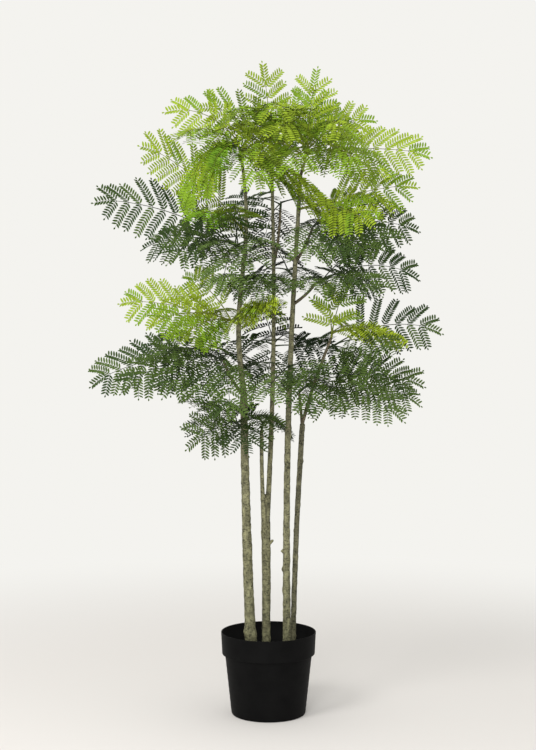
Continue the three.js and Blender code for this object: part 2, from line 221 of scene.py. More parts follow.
# Leaflets.
LEAFLET_SPACING = 7.8
LEAFLET_LENGTH = 16.8
LEAFLET_WIDTH = 5.7
LEAFLET_LEAST_WIDTH = 0.6
LEAFLET_ANGLE = 54
LEAFLET_LIFT = 0.24
LEAFLET_TWIST = 0.35
LEAFLET_CLEARANCE = 2.0
LEAFLET_CLEAR_AT = 0.6
FIRST_LEAFLET = 5
LEAFLET_MARGIN = 7
FIRST_LEAFLET_SHARE = 0.75
LEAFLET_GAIN = 2.0
LEAFLET_LOSS = 0.4
LEAFLET_LOSS_FROM = 0.5
LEAFLET_LOSS_POWER = 2.6
END_LEAFLET_BACK = 6
END_LEAFLET_SHARE = 0.42
# One leaflet: share along, share of the half width, and height as a share of the width.
LEAFLET_POINTS = np.array([
    (0.0, 0.0, 0.0),
    (0.2, -0.85, 0.10), (0.2, 0.0, 0.0), (0.2, 0.85, 0.10),
    (0.55, -1.0, 0.10), (0.55, 0.0, 0.0), (0.55, 1.0, 0.10),
    (0.85, -0.66, 0.02), (0.85, 0.0, -0.06), (0.85, 0.66, 0.02),
    (1.0, 0.0, -0.14),
])
LEAFLET_FACES = [
    (0, 2, 1), (0, 3, 2),
    (1, 2, 5, 4), (2, 3, 6, 5),
    (4, 5, 8, 7), (5, 6, 9, 8),
    (7, 8, 10), (8, 9, 10),
]

# Sprays. A spray's twig leaves its limb at that share of it, and its fronds stand back from the
# twig's tip. Those of the solids come first, then the finer ones that only this script has. Each is
# (heading, rise, droop, roll, share of the full length). Numbered through both lists, the fronds
# take the spray's shades by turns, and the folded ones carry their pinnae forward along the rib.
# Shades 3 and 4 in these tables deal out the painted shade and the painted light of the leaf
# colours.
SPRAYS = [
    dict(name="spray_left_foot", limb="stem_left", at=0.86, tint="dark",
         heading=200, rise=40, reach=42, shades=(4, 1, 0, 4, 2, 2), folded=(4,),
         fronds=[(219, -11, 14, -75, 0.42), (282, 8, 44, 0, 0.52), (118, 12, 44, 30, 0.8)],
         finer=[(238, 41, 40, -30, 0.6), (325, 35, 50, 0, 0.42), (255, 51, 56, -10, 0.67)]),
    dict(name="spray_left_low", limb="bough_left", at=1, tint="dark",
         heading=190, rise=20, reach=36, shades=(0, 2, 0, 2, 2, 2, 2, 0, 0), folded=(),
         fronds=[(180, 4, 30, -66, 1.02), (210, 4, 36, -50, 0.86), (148, 27, 40, -40, 0.8),
                 (257, -1, 44, -8, 0.66)],
         finer=[(232, 24, 40, -14, 0.7), (237, 8, 50, -40, 0.75), (283, 3, 70, 8, 0.8),
                (62, 11, 30, 30, 0.7), (100, 20, 40, 20, 0.8)]),
    dict(name="spray_left_mid", limb="leader_left", at=0.29, tint="lime",
         heading=196, rise=24, reach=34, shades=(0, 1, 0, 2, 0, 4, 0, 4), folded=(3, 5, 7),
         fronds=[(170, 19, 16, -74, 0.9), (239, 10, 36, -40, 0.73), (212, 23, 40, -52, 0.75)],
         finer=[(239, -10, 18, -14, 0.42), (130, 50, 30, -60, 0.7), (300, 27, 24, 50, 0.72),
                (278, 25, 34, 48, 0.6), (288, 23, 30, 42, 0.6)]),
    dict(name="spray_left_inner", limb="leader_left", at=0.31, tint="lime",
         heading=40, rise=30, reach=30, shades=(4, 0, 1), folded=(0,),
         fronds=[(299, 23, 24, 10, 0.6), (112, 20, 40, 10, 0.8)],
         finer=[(59, 14, 20, 30, 0.55)]),
    dict(name="spray_left_high", limb="leader_left", at=0.6, tint="dark",
         heading=200, rise=30, reach=48, shades=(0, 0, 4, 3, 2, 0, 1, 4, 2, 4, 4), folded=(),
         fronds=[(197, 33, 30, -70, 1.2), (153, 17, 30, -50, 0.85), (262, -6, 40, -10, 0.75),
                 (112, 18, 36, 20, 0.85)],
         finer=[(229, 14, 44, -40, 0.75), (127, 33, 30, -60, 0.8), (82, 60, 30, 0, 0.7),
                (257, 18, 36, -10, 0.59), (267, 35, 20, -4, 0.6), (278, 12, 46, 4, 0.63),
                (285, 25, 40, 14, 0.62)]),
    dict(name="spray_left_front", limb="leader_left", at=0.47, tint="dark",
         heading=330, rise=20, reach=26, shades=(4,), folded=(),
         fronds=[(301, 5, 20, 24, 0.62), (281, 11, 40, 8, 0.6)],
         finer=[(297, 16, 30, -14, 0.62), (250, 18, 40, -16, 0.62), (270, 19, 44, 4, 0.6)]),
    dict(name="spray_left_upper", limb="leader_left", at=0.66, tint="lime",
         heading=200, rise=60, reach=30, shades=(0, 2, 1, 0), folded=(),
         fronds=[(208, 52, 28, -78, 1.1), (239, 39, 60, -14, 0.75)],
         finer=[(262, 39, 40, 0, 0.6), (110, 30, 40, 20, 0.8)]),
    dict(name="spray_left_top", limb="leader_left", at=1, tint="lime",
         heading=210, rise=74, reach=42,
         shades=(0, 1, 2, 1, 0, 1, 1, 1, 1, 1), folded=(2, 4, 5, 6, 8),
         fronds=[(180, 58, 55, -68, 0.61), (231, 29, 50, -14, 0.75), (256, 4, 34, -4, 0.8),
                 (64, 40, 50, 56, 0.85), (346, -10, 46, 15, 1.1)],
         finer=[(225, 4, 90, -18, 0.9), (245, 13, 90, -14, 0.8), (346, -11, 44, 16, 0.62),
                (0, -32, 12, 12, 0.99), (285, 5, 56, 8, 0.76)]),
    dict(name="spray_middle_foot", limb="bough_middle", at=1, tint="dark",
         heading=300, rise=70, reach=26, shades=(0, 2), folded=(),
         fronds=[(150, 26, 44, -30, 0.55), (258, 29, 60, 0, 0.3), (78, 20, 44, 24, 0.8)],
         finer=[]),
    dict(name="spray_middle_mid", limb="leader_middle", at=0.495, tint="dark",
         heading=80, rise=40, reach=30, shades=(3, 1), folded=(),
         fronds=[(70, 20, 40, 20, 0.9), (150, 14, 40, -30, 0.8), (10, 6, 30, 40, 0.7)],
         finer=[(98, -23, 30, 14, 0.6), (103, 42, 20, -16, 0.6), (116, 15, 34, -20, 0.6)]),
    dict(name="spray_middle_high", limb="bough_middle_top", at=1, tint="dark",
         heading=80, rise=60, reach=24, shades=(3, 1), folded=(),
         fronds=[(36, 18, 40, 34, 0.85), (126, 22, 44, -30, 0.9)],
         finer=[(103, -3, 40, 0, 0.75)]),
    dict(name="spray_middle_top", limb="leader_middle", at=1, tint="lime",
         heading=120, rise=78, reach=40, shades=(0, 1, 1, 3, 1, 0, 3, 1), folded=(),
         fronds=[(180, 88, 6, -62, 0.52), (204, 42, 34, -89, 0.62), (338, 46, 30, 91, 0.6),
                 (30, 38, 44, 67, 0.85), (262, 20, 60, 0, 0.75)],
         finer=[(274, 66, 104, 0, 0.85), (246, 62, 96, -14, 0.8), (291, 48, 60, 30, 0.75),
                (228, 44, 84, -16, 0.75), (350, 12, 40, 75, 0.62), (100, 60, 40, 0, 0.6)]),
    dict(name="spray_right_foot", limb="stem_right", at=0.6, tint="dark",
         heading=262, rise=30, reach=30, shades=(4, 2, 2, 0), folded=(),
         fronds=[(245, -16, 12, -6, 0.55), (288, -4, 44, 16, 0.62)],
         finer=[(289, 13, 30, 30, 0.59), (140, 16, 40, 10, 0.7)]),
    dict(name="spray_right_low", limb="bough_right_low", at=1, tint="dark",
         heading=10, rise=20, reach=30, shades=(0, 2, 1, 2, 0, 4), folded=(),
         fronds=[(20, 31, 50, 64, 0.85), (305, 16, 40, 36, 0.75), (52, 22, 44, 40, 0.85)],
         finer=[(286, 20, 44, 14, 0.63), (60, 34, 30, 60, 0.75), (257, 17, 40, -10, 0.61)]),
    dict(name="spray_right_high", limb="bough_right_high", at=1, tint="dark",
         heading=20, rise=40, reach=30, shades=(0, 2, 1, 2, 2, 4, 2), folded=(),
         fronds=[(18, 5, 14, 70, 0.86), (317, 1, 30, 44, 0.8), (84, 20, 46, 10, 0.9)],
         finer=[(304, -2, 40, 34, 0.75), (286, 2, 50, 16, 0.75), (261, -2, 40, -8, 0.7),
                (50, 11, 26, 56, 0.8)]),
    dict(name="spray_right_back", limb="stem_right", at=0.79, tint="dark",
         heading=130, rise=36, reach=40, shades=(3, 1), folded=(),
         fronds=[(122, 10, 36, -40, 0.85), (74, 16, 40, 0, 0.85)],
         finer=[(106, 37, 30, 0, 0.8)]),
    dict(name="spray_right_top", limb="bough_top_up", at=1, tint="lime",
         heading=20, rise=78, reach=42, shades=(0, 0, 1, 3, 1, 0, 1, 3), folded=(),
         fronds=[(0, 88, 8, 62, 0.58), (0, 7, 14, 72, 1), (319, 12, 50, 30, 0.9),
                 (262, 24, 66, 0, 0.8), (110, 38, 50, -55, 0.9)],
         finer=[(20, 50, 40, 73, 0.62), (296, 62, 100, 16, 0.8), (302, 22, 60, 40, 0.8),
                (250, 64, 100, -10, 0.8), (190, 40, 50, -83, 0.6), (60, 60, 50, 39, 0.6),
                (140, 50, 50, -59, 0.7)]),
    dict(name="spray_right_edge", limb="stem_right", at=0.93, tint="lime",
         heading=350, rise=12, reach=44, shades=(0, 0, 3, 1), folded=(),
         fronds=[(5, 19, 12, 62, 0.84), (310, 1, 24, 50, 0.72)],
         finer=[(26, 12, 16, 50, 0.75), (60, 20, 36, 20, 0.8)]),
    dict(name="spray_far_low", limb="bough_far_left", at=1, tint="dark",
         heading=10, rise=40, reach=36, shades=(2, 4, 4, 0, 4, 4), folded=(),
         fronds=[(0, 21, 36, 60, 0.98), (337, 7, 40, 40, 0.9), (287, 11, 40, 14, 0.75),
                 (66, 22, 48, 20, 0.85)],
         finer=[(360, 14, 40, 50, 0.98), (271, 38, 50, 10, 0.7)]),
    dict(name="spray_far_lime", limb="bough_far_right", at=1, tint="lime",
         heading=60, rise=74, reach=22, shades=(1, 4, 0, 1), folded=(1,),
         fronds=[(0, 80, 10, 90, 0.34), (322, 21, 44, 18, 0.7)],
         finer=[(60, 20, 40, 30, 0.7), (180, 86, 4, -90, 0.3)]),
    dict(name="spray_far_dark", limb="bough_far_right", at=0.88, tint="dark",
         heading=350, rise=24, reach=30, shades=(0, 1, 2, 2), folded=(),
         fronds=[(0, 34, 46, 62, 0.88), (120, 16, 40, -30, 0.8), (304, 2, 40, 14, 0.7)],
         finer=[(307, 19, 40, 44, 0.7)]),
]

# Roughness and specular level of each finish.
FINISHES = {
    "leaf": (0.55, 0.06), "bark": (0.8, 0.3), "pot": (0.6, 0.055), "fill": (0.95, 0.2),
    "floor": (0.9, 0.1),
}
# Scale and detail of each noise, and its stretch where it is drawn out along an axis.
NOISES = {
    "leaf_mottle": (60, 3),
    "bark_mottle": (105, 5, (1, 1, 0.5)), "bark_marks": (90, 4, (1, 1, 3.0)),
    "bark_pits": (210, 3), "bark_grain": (420, 4),
    "pot_cloud": (22, 3), "pot_grain": (700, 2),
    "fill_lumps": (90, 6),
}
# Strength and depth of each bump.
BUMPS = {"bark": (0.6, 1.0), "pot": (0.25, 0.2), "fill": (0.6, 2.0)}
# Ramps over a noise: places with a factor of the piece's own colour, or with a colour.
WHITE = (1.0, 1.0, 1.0)
LEAF_MOTTLE = [(0.3, 0.82), (0.7, 1.18)]
BARK_MOTTLE = [(0.30, 0.52), (0.50, 1.0), (0.70, 1.62)]
BARK_MARKS = [(0.34, (0.38, 0.38, 0.36)), (0.46, WHITE)]
BARK_PITS = [(0.33, (0.24, 0.24, 0.21)), (0.45, WHITE)]
# Painted shade: the bark darkens towards its foot, between the two heights below.
BARK_FOOT_SHADE = [(0, (0.84, 0.85, 0.82)), (1, WHITE)]
BARK_FOOT_SHADE_HEIGHTS = (230, 620)
POT_BLACKS = [(0.35, (0.0024, 0.0024, 0.0025)), (0.65, (0.0036, 0.0036, 0.0037))]
FILL_DARKS = [(0.3, (0.006, 0.005, 0.005)), (0.7, (0.03, 0.027, 0.023))]
BARK_COLOURS = {
    "olive": (0.157, 0.152, 0.086), "grey": (0.115, 0.110, 0.066), "brown": (0.115, 0.097, 0.060),
}
RIB_COLOURS = {"lime": (0.15, 0.18, 0.028), "dark": (0.035, 0.05, 0.024)}
# Leaf colours by shade number. Shade 3 of each tint is a darker copy, a painted shade for fronds
# deep in the crown.
# Shade 4 of each tint is a lighter copy, a painted light for fronds that stand in the light.
LEAF_COLOURS = {
    "lime": [(0.228, 0.318, 0.022), (0.158, 0.264, 0.018), (0.120, 0.242, 0.015),
             (0.118, 0.180, 0.017), (0.285, 0.375, 0.024)],
    "dark": [(0.036, 0.063, 0.016), (0.027, 0.051, 0.015), (0.058, 0.095, 0.021),
             (0.011, 0.021, 0.008), (0.085, 0.134, 0.034)],
}
# A row with 3 deals painted shade to some pinnae, and a row with 4 deals painted light.
# The four shades that a frond's pinnae take by the seeded rule, by the frond's own shade.
SHADE_MIX = {
    "lime": [(0, 0, 0, 1), (1, 1, 0, 3), (2, 2, 2, 1), (3, 3, 1, 1), (4, 4, 4, 0)],
    "dark": [(0, 0, 2, 1), (1, 1, 0, 0), (2, 2, 2, 0), (3, 3, 3, 1), (4, 4, 4, 2)],
}

# Stage, light and camera. The lights' places and sizes are in metres.
PALE = (0.905, 0.896, 0.862)
FLOOR_COLOUR = (0.69, 0.672, 0.658)
FLOOR_RADIUS = 30000
FLOOR_SEGMENTS = 96
FLOOR_FADE = (700, 2600)
LIGHTS = [
    dict(name="key", place=(-2.2, -2.6, 3.4), aim=(0, 0, 1.0), size=1.6, power=70,
         colour=(1.0, 0.98, 0.95)),
    dict(name="front", place=(-0.8, -5.2, 2.0), aim=(0, 0, 1.1), size=2.4, power=170,
         colour=(1.0, 0.99, 0.97)),
]
CAMERA_PLACE = (-1.4, -4136.0, 1149.0)
CAMERA_TILT = 2.84
CAMERA_LENS = 72.0
CAMERA_SENSOR = 36
CAMERA_FAR = 100


# Vectors and seeded numbers

def direction(heading, rise):
    h, r = math.radians(heading), math.radians(rise)
    return np.array([math.cos(r) * math.cos(h), math.cos(r) * math.sin(h), math.sin(r)])


def unit(v):
    return v / np.linalg.norm(v, axis=-1, keepdims=True)


def vary(seed):
    """A number from -1 to 1 that is always the same for the same seed."""
    wave = math.sin(seed * 12.9898) * 43758.5453
    return 2 * (wave - math.floor(wave)) - 1


def lattice(cell, seed):
    """A value from -1 to 1 for each whole-numbered cell."""
    mixed = cell[..., 0] * 73856093 ^ cell[..., 1] * 19349663 ^ cell[..., 2] * 83492791
    mixed = mixed ^ (seed * 2654435)
    mixed = ((mixed ^ (mixed >> 13)) * 1274126177) & 0xFFFFFFFF
    mixed = mixed ^ (mixed >> 16)
    return (mixed & 0xFFFF) / 32767.5 - 1


def noise(points, size, seed):
    """Smooth seeded noise from -1 to 1 at points, with features of that size."""
    place = points / np.asarray(size, float)
    cell = np.floor(place).astype(np.int64)
    part = place - cell
    part = part * part * (3 - 2 * part)
    total = np.zeros(points.shape[:-1])
    for corner in np.ndindex(2, 2, 2):
        step = np.array(corner)
        weight = np.prod(np.where(step == 1, part, 1 - part), axis=-1)
        total += weight * lattice(cell + step, seed)
    return total


# Meshes

def add_mesh(name, vertices, faces, material, smooth=True):
    """A piece from vertices in millimetres and faces as lists of corner numbers."""
    mesh = bpy.data.meshes.new(name)
    mesh.from_pydata((np.asarray(vertices) * MM).tolist(), [], faces)
    mesh.polygons.foreach_set("use_smooth", [smooth] * len(mesh.polygons))
    mesh.materials.append(material)
    mesh.update()
    piece = bpy.data.objects.new(name, mesh)
    bpy.context.scene.collection.objects.link(piece)
    return piece


def turns(segments):
    """The angle of each segment of a ring."""
    return np.arange(segments) * 2 * math.pi / segments


def tube_faces(rings, segments):
    """Quads of a tube whose rings follow one another, and a cap at each end."""
    ring, seg = np.meshgrid(np.arange(rings - 1), np.arange(segments), indexing="ij")
    after = (seg + 1) % segments
    corners = [ring * segments + seg, ring * segments + after,
               (ring + 1) * segments + after, (ring + 1) * segments + seg]
    faces = np.stack(corners, -1).reshape(-1, 4).tolist()
    last = rings * segments
    faces.append(list(range(segments))[::-1])
    faces.append(list(range(last - segments, last)))
    return faces


def tube(points, radii, sideways, segments):
    """Vertices and faces of a capped tube along points. radii has one value a ring or a vertex."""
    tangents = unit(np.gradient(points, axis=0))
    side = sideways - np.sum(sideways * tangents, -1, keepdims=True) * tangents
    side = unit(side)
    other = np.cross(tangents, side)
    turn = turns(segments)
    ring = side[:, None] * np.cos(turn)[:, None] + other[:, None] * np.sin(turn)[:, None]
    radii = np.asarray(radii, float)
    radii = radii[:, None] if radii.ndim == 1 else radii
    vertices = (points[:, None] + ring * radii[..., None]).reshape(-1, 3)
    return vertices, tube_faces(len(points), segments)


# Materials

def new_material(name, finish):
    material = bpy.data.materials.new(name)
    material.use_nodes = True
    nodes = material.node_tree.nodes
    shader = nodes["Principled BSDF"]
    roughness, specular = FINISHES[finish]
    shader.inputs["Roughness"].default_value = roughness
    shader.inputs["Specular IOR Level"].default_value = specular
    return material, nodes, material.node_tree.links, shader


def add_noise(nodes, links, scale, detail, stretch=(1, 1, 1)):
    """A noise texture in the object's own coordinates, drawn out along an axis by stretch."""
    coords = nodes.new("ShaderNodeTexCoord")
    mapping = nodes.new("ShaderNodeMapping")
    mapping.inputs["Scale"].default_value = stretch
    links.new(coords.outputs["Object"], mapping.inputs["Vector"])
    texture = nodes.new("ShaderNodeTexNoise")
    texture.inputs["Scale"].default_value = scale
    texture.inputs["Detail"].default_value = detail
    links.new(mapping.outputs["Vector"], texture.inputs["Vector"])
    return texture.outputs["Fac"]


def add_ramp(nodes, links, source, stops):
    """A colour ramp driven by source. stops are (place, (r, g, b))."""
    ramp = nodes.new("ShaderNodeValToRGB")
    elements = ramp.color_ramp.elements
    while len(elements) < len(stops):
        elements.new(0.5)
    for element, (place, colour) in zip(elements, stops):
        element.position = place
        element.color = (*colour, 1)
    links.new(source, ramp.inputs["Fac"])
    return ramp.outputs["Color"]


def add_bump(nodes, links, shader, source, strength, depth):
    bump = nodes.new("ShaderNodeBump")
    bump.inputs["Strength"].default_value = strength
    bump.inputs["Distance"].default_value = depth * MM
    links.new(source, bump.inputs["Height"])
    links.new(bump.outputs["Normal"], shader.inputs["Normal"])


def add_multiply(nodes, links, first, second):
    """The product of two colours. A mix node's colour sockets go by number, not by name."""
    mix = nodes.new("ShaderNodeMix")
    mix.data_type = "RGBA"
    mix.blend_type = "MULTIPLY"
    mix.inputs[0].default_value = 1.0
    links.new(first, mix.inputs[6])
    links.new(second, mix.inputs[7])
    return mix.outputs[2]


def add_height(nodes, links, low, high):
    """The height above the floor, from 0 at low to 1 at high."""
    coords = nodes.new("ShaderNodeTexCoord")
    parts = nodes.new("ShaderNodeSeparateXYZ")
    links.new(coords.outputs["Object"], parts.inputs["Vector"])
    height = nodes.new("ShaderNodeMapRange")
    height.inputs["From Min"].default_value = low * MM
    height.inputs["From Max"].default_value = high * MM
    links.new(parts.outputs["Z"], height.inputs["Value"])
    return height.outputs["Result"]


def tinted(colour, stops):
    """Ramp stops with each factor of the colour worked out."""
    return [(place, tuple(c * factor for c in colour)) for place, factor in stops]


def leaf_material(name, colour):
    """Satin moulded leaf with a faint mottle."""
    material, nodes, links, shader = new_material(name, "leaf")
    mottle = add_noise(nodes, links, *NOISES["leaf_mottle"])
    paint = add_ramp(nodes, links, mottle, tinted(colour, LEAF_MOTTLE))
    links.new(paint, shader.inputs["Base Color"])
    return material


def bark_material(name, colour):
    """Painted moulded bark: mottled, with short level marks and dark pits, and painted shade at its
    foot.
    """
    material, nodes, links, shader = new_material(name, "bark")
    mottle = add_noise(nodes, links, *NOISES["bark_mottle"])
    paint = add_ramp(nodes, links, mottle, tinted(colour, BARK_MOTTLE))
    marks = add_noise(nodes, links, *NOISES["bark_marks"])
    pits = add_noise(nodes, links, *NOISES["bark_pits"])
    height = add_height(nodes, links, *BARK_FOOT_SHADE_HEIGHTS)
    # The height ramp darkens the foot: painted shade.
    for source, stops in ((marks, BARK_MARKS), (pits, BARK_PITS), (height, BARK_FOOT_SHADE)):
        paint = add_multiply(nodes, links, paint, add_ramp(nodes, links, source, stops))
    links.new(paint, shader.inputs["Base Color"])
    grain = add_noise(nodes, links, *NOISES["bark_grain"])
    add_bump(nodes, links, shader, grain, *BUMPS["bark"])
    return material


def pot_material():
    """Black polypropylene with a faint moulded grain."""
    material, nodes, links, shader = new_material("pot_black", "pot")
    cloud = add_noise(nodes, links, *NOISES["pot_cloud"])
    links.new(add_ramp(nodes, links, cloud, POT_BLACKS), shader.inputs["Base Color"])
    grain = add_noise(nodes, links, *NOISES["pot_grain"])
    add_bump(nodes, links, shader, grain, *BUMPS["pot"])
    return material


def fill_material():
    """Dark rough cast filling."""
    material, nodes, links, shader = new_material("fill_dark", "fill")
    lumps = add_noise(nodes, links, *NOISES["fill_lumps"])
    links.new(add_ramp(nodes, links, lumps, FILL_DARKS), shader.inputs["Base Color"])
    add_bump(nodes, links, shader, lumps, *BUMPS["fill"])
    return material


BARK = {name: bark_material("bark_" + name, colour) for name, colour in BARK_COLOURS.items()}


# Limbs

limbs = {}


def limb_axis(foot, tip, bow, sway):
    """The limb's middle line, as a function of the share along it."""
    foot, tip = np.asarray(foot, float), np.asarray(tip, float)

    def axis(t):
        t = np.asarray(t, float)[..., None]
        swell = np.sin(math.pi * t)
        bend = sway * np.sin(2 * math.pi * t)
        aside = np.concatenate([bow[0] * swell + bend, bow[1] * swell, 0 * t], -1)
        return foot + (tip - foot) * t + aside
    return axis


def add_limb(name, foot, tip, bow, sway, radius, flare):
    axis = limb_axis(foot, tip, bow, sway)
    length = float(np.linalg.norm(axis(1.0) - axis(0.0)))
    start, end = radius

    def girth(t):
        return start + (end - start) * t + flare * start * np.exp(-t * length / FLARE_HEIGHT)
    limbs[name] = dict(axis=axis, girth=girth, length=length)


for stem in STEMS:
    foot = (*stem["foot"], GROUND - STEM_CUT)
    add_limb(stem["name"], foot, stem["tip"], stem["bow"], 0, stem["radius"], FLARE)
for bough in BOUGHS:
    start = limbs[bough["parent"]]["axis"](bough["at"])
    add_limb(bough["name"], start, bough["tip"], bough["bow"], bough["sway"], bough["radius"], 0)


def bark_relief(places, seed, rough):
    """How far the bark stands out at each place. Its grooves deepen at the ground."""
    grooves = noise(places, GROOVE_SIZE, seed)
    lumps = noise(places, LUMP_SIZE, seed + 1)
    grain = noise(places, GRAIN_SIZE, seed + 2)
    near_ground = np.exp(-np.maximum(places[..., 2] - GROUND, 0) / GROUND_GROOVE_HEIGHT)
    groove_depth = GROOVE_DEPTH + GROUND_GROOVE_DEPTH * near_ground
    return rough * (groove_depth * grooves + LUMP_DEPTH * lumps + GRAIN_DEPTH * grain)


def knot_relief(places, name, limb):
    """Swellings at the limb's own knots, and small ones at the nodes that wind up it."""
    low, high = limb["axis"](0.0)[2], limb["axis"](1.0)[2]
    knots = [knot[1:] for knot in KNOTS if knot[0] == name]
    for node in range(int((high - low) / NODE_RISE)):
        height = KNOT_HEIGHT * (1 + KNOT_VARY * vary(low + node))
        knots.append((low + (node + FIRST_KNOT) * NODE_RISE, NODE_TURN * node, height, KNOT_SIZE))
    relief = np.zeros(places.shape[:-1])
    for z, heading, height, size in knots:
        t = (z - low) / (high - low)
        spot = limb["axis"](t) + direction(heading, 0) * limb["girth"](t)
        away = np.linalg.norm((places - spot) / (size, size, KNOT_FLATNESS * size), axis=-1)
        relief += height * np.exp(-away ** 2)
    return relief


def bark_piece(name, material, segments, rough, seed, is_stem):
    """A limb with its relief, rounded off at the tip. A stem starts clear of the filling."""
    limb = limbs[name]
    rings = max(LEAST_RINGS, int(limb["length"] / RING_SPACING))
    t = np.linspace(0, 1, rings)
    if is_stem:
        cut = (STEM_CUT + GAP) / (limb["axis"](1.0)[2] - limb["axis"](0.0)[2])
        t = cut + (1 - cut) * t
    points = limb["axis"](t)
    girth = limb["girth"](t)
    turn = turns(segments)
    around = np.stack([np.cos(turn), np.sin(turn), 0 * turn], -1)
    places = points[:, None] + around * girth[:, None, None]
    rough = rough * np.clip(girth / FULL_ROUGH_RADIUS, *ROUGH_SHARES)[:, None]
    radii = girth[:, None] + bark_relief(places, seed, rough)
    knotty = np.clip(girth / FULL_KNOT_RADIUS, *KNOT_SHARES)[:, None]
    radii += knot_relief(places, name, limb) * knotty
    end = np.clip((1 - t) * limb["length"] / (TIP_ROUND * girth), 0, 1)
    radii = radii * np.sqrt(1 - (1 - end) ** 2 * TIP_CLOSING)[:, None]
    vertices, faces = tube(points, radii, np.broadcast_to(RIGHT, points.shape), segments)
    piece = add_mesh("bark_" + name, vertices, faces, material)
    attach(piece, "root")
    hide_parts(name)


for i, stem in enumerate(STEMS):
    bark = BARK["grey" if stem["name"] == "stem_far_right" else "olive"]
    seed = STEM_SEED + SEED_STEP * i
    bark_piece(stem["name"], bark, STEM_SEGMENTS, STEM_ROUGHNESS, seed, is_stem=True)
for i, bough in enumerate(BOUGHS):
    is_stout = bough["name"].startswith("leader") or bough["parent"] == "stem_middle"
    bark = BARK["olive" if is_stout else "brown"]
    seed = BOUGH_SEED + SEED_STEP * i
    bark_piece(bough["name"], bark, BOUGH_SEGMENTS, BOUGH_ROUGHNESS, seed, is_stem=False)


# Fronds

along_limb = np.linspace(0, 1, LIMB_SAMPLES)
LIMB_POINTS = np.concatenate([limb["axis"](along_limb) for limb in limbs.values()])
LIMB_RADII = np.concatenate([limb["girth"](along_limb) for limb in limbs.values()])
POINTS_AT_ONCE = 2000


def clear_of_limbs(points, margin):
    """True for each point that lies further than margin from the bark."""
    gap = np.empty(len(points))
    for start in range(0, len(points), POINTS_AT_ONCE):
        some = slice(start, start + POINTS_AT_ONCE)
        away = np.linalg.norm(points[some, None] - LIMB_POINTS[None], axis=-1) - LIMB_RADII
        gap[some] = away.min(1)
    return gap > margin


def frond_rib(base, heading, rise, droop, roll, share):
    """The rib's axis and its frame (tangent, side, face) as functions of the share along it."""
    length = FROND_LENGTH * share
    start, bend = math.radians(rise), math.radians(droop)
    ahead = direction(heading, 0)
    level = np.cross(UP, ahead)

    def rib(t):
        pitch = start - bend * t
        out = length / bend * (math.sin(start) - np.sin(pitch))
        up = length / bend * (np.cos(pitch) - math.cos(start))
        return base + np.multiply.outer(out, ahead) + np.multiply.outer(up, UP)

    def axes(t):
        tangent = direction(heading, rise - droop * t)
        top = np.cross(tangent, level)
        side = level * math.cos(math.radians(roll)) + top * math.sin(math.radians(roll))
        return tangent, side, np.cross(tangent, side)
    return rib, axes


def pinna_places(rib, axes, roll, share, angles, petiole, seed):
    """Root, direction, face and length of every pinna of a frond, the last one at its tip."""
    pairs = round(FROND_LENGTH * share * (1 - petiole) / PINNA_SPACING)
    sag = PINNA_SAG + PINNA_HANG * math.cos(math.radians(roll)) ** 2
    first_angle, last_angle = angles
    places = []
    for pair in range(pairs):
        along = pair / (pairs - LAST_PAIR_BACK)
        t = petiole + (1 - petiole) * along
        tangent, side, face = axes(t)
        down = tangent * tangent[2] - UP
        full = PINNA_LENGTH * share ** PINNA_GROWTH * (1 - (1 - LAST_PINNA_SHARE) * along ** 3)
        for hand in (-1, 1):
            chance = vary(seed + along + 0.1 * hand)
            lean = first_angle + (last_angle - first_angle) * along
            angle = math.radians(lean + VARY_ANGLE * chance)
            out = tangent * math.cos(angle) + side * hand * math.sin(angle) + down * sag
            out = out + face * PINNA_TILT * vary(seed + 2 * along + 0.3 * hand)
            places.append((rib(t), unit(out), face, full * (1 + VARY_LENGTH * chance)))
    tangent, _, face = axes(1)
    places.append((rib(LAST_PINNA_AT), tangent, face, PINNA_LENGTH * LAST_PINNA_SHARE))
    return places


def pinna_axis(root, out, length, t):
    """Points along a pinna's rib, which bends down towards its tip, most where it lies level."""
    t = np.asarray(t, float)[:, None]
    return root + out * length * t + (out * out[2] - UP) * PINNA_BEND * length * t ** 2


def leaflet_rows(root, out, face, length):
    """Foot, direction, width direction, face and length of every leaflet of a pinna."""
    across = unit(np.cross(face, out))
    normal = np.cross(out, across)
    count = int((length - LEAFLET_MARGIN) / LEAFLET_SPACING)
    t = (FIRST_LEAFLET + LEAFLET_SPACING * np.arange(count)) / length
    feet = pinna_axis(root, out, length, t)
    near_tip = np.clip((t - LEAFLET_LOSS_FROM) / (1 - LEAFLET_LOSS_FROM), 0, 1)
    taper = np.clip(FIRST_LEAFLET_SHARE + LEAFLET_GAIN * t, 0, 1)
    taper = taper * (1 - LEAFLET_LOSS * near_tip ** LEAFLET_LOSS_POWER)
    lean = math.radians(LEAFLET_ANGLE)
    rows = []
    for hand in (-1, 1):
        ahead = out * math.cos(lean) + across * hand * math.sin(lean) + normal * LEAFLET_LIFT
        ahead = unit(ahead)
        twist = [LEAFLET_TWIST * vary(root[0] + 7.1 * place + hand) for place in range(count)]
        face_up = unit(normal + np.multiply.outer(twist, np.cross(normal, ahead)))
        width = unit(np.cross(face_up, ahead))
        rows.append((feet, ahead, width, np.cross(ahead, width), LEAFLET_LENGTH * taper))
    tip = pinna_axis(root, out, length, [1 - END_LEAFLET_BACK / length])
    rows.append((tip, out, across, normal, np.array([LEAFLET_LENGTH * END_LEAFLET_SHARE])))
    return rows


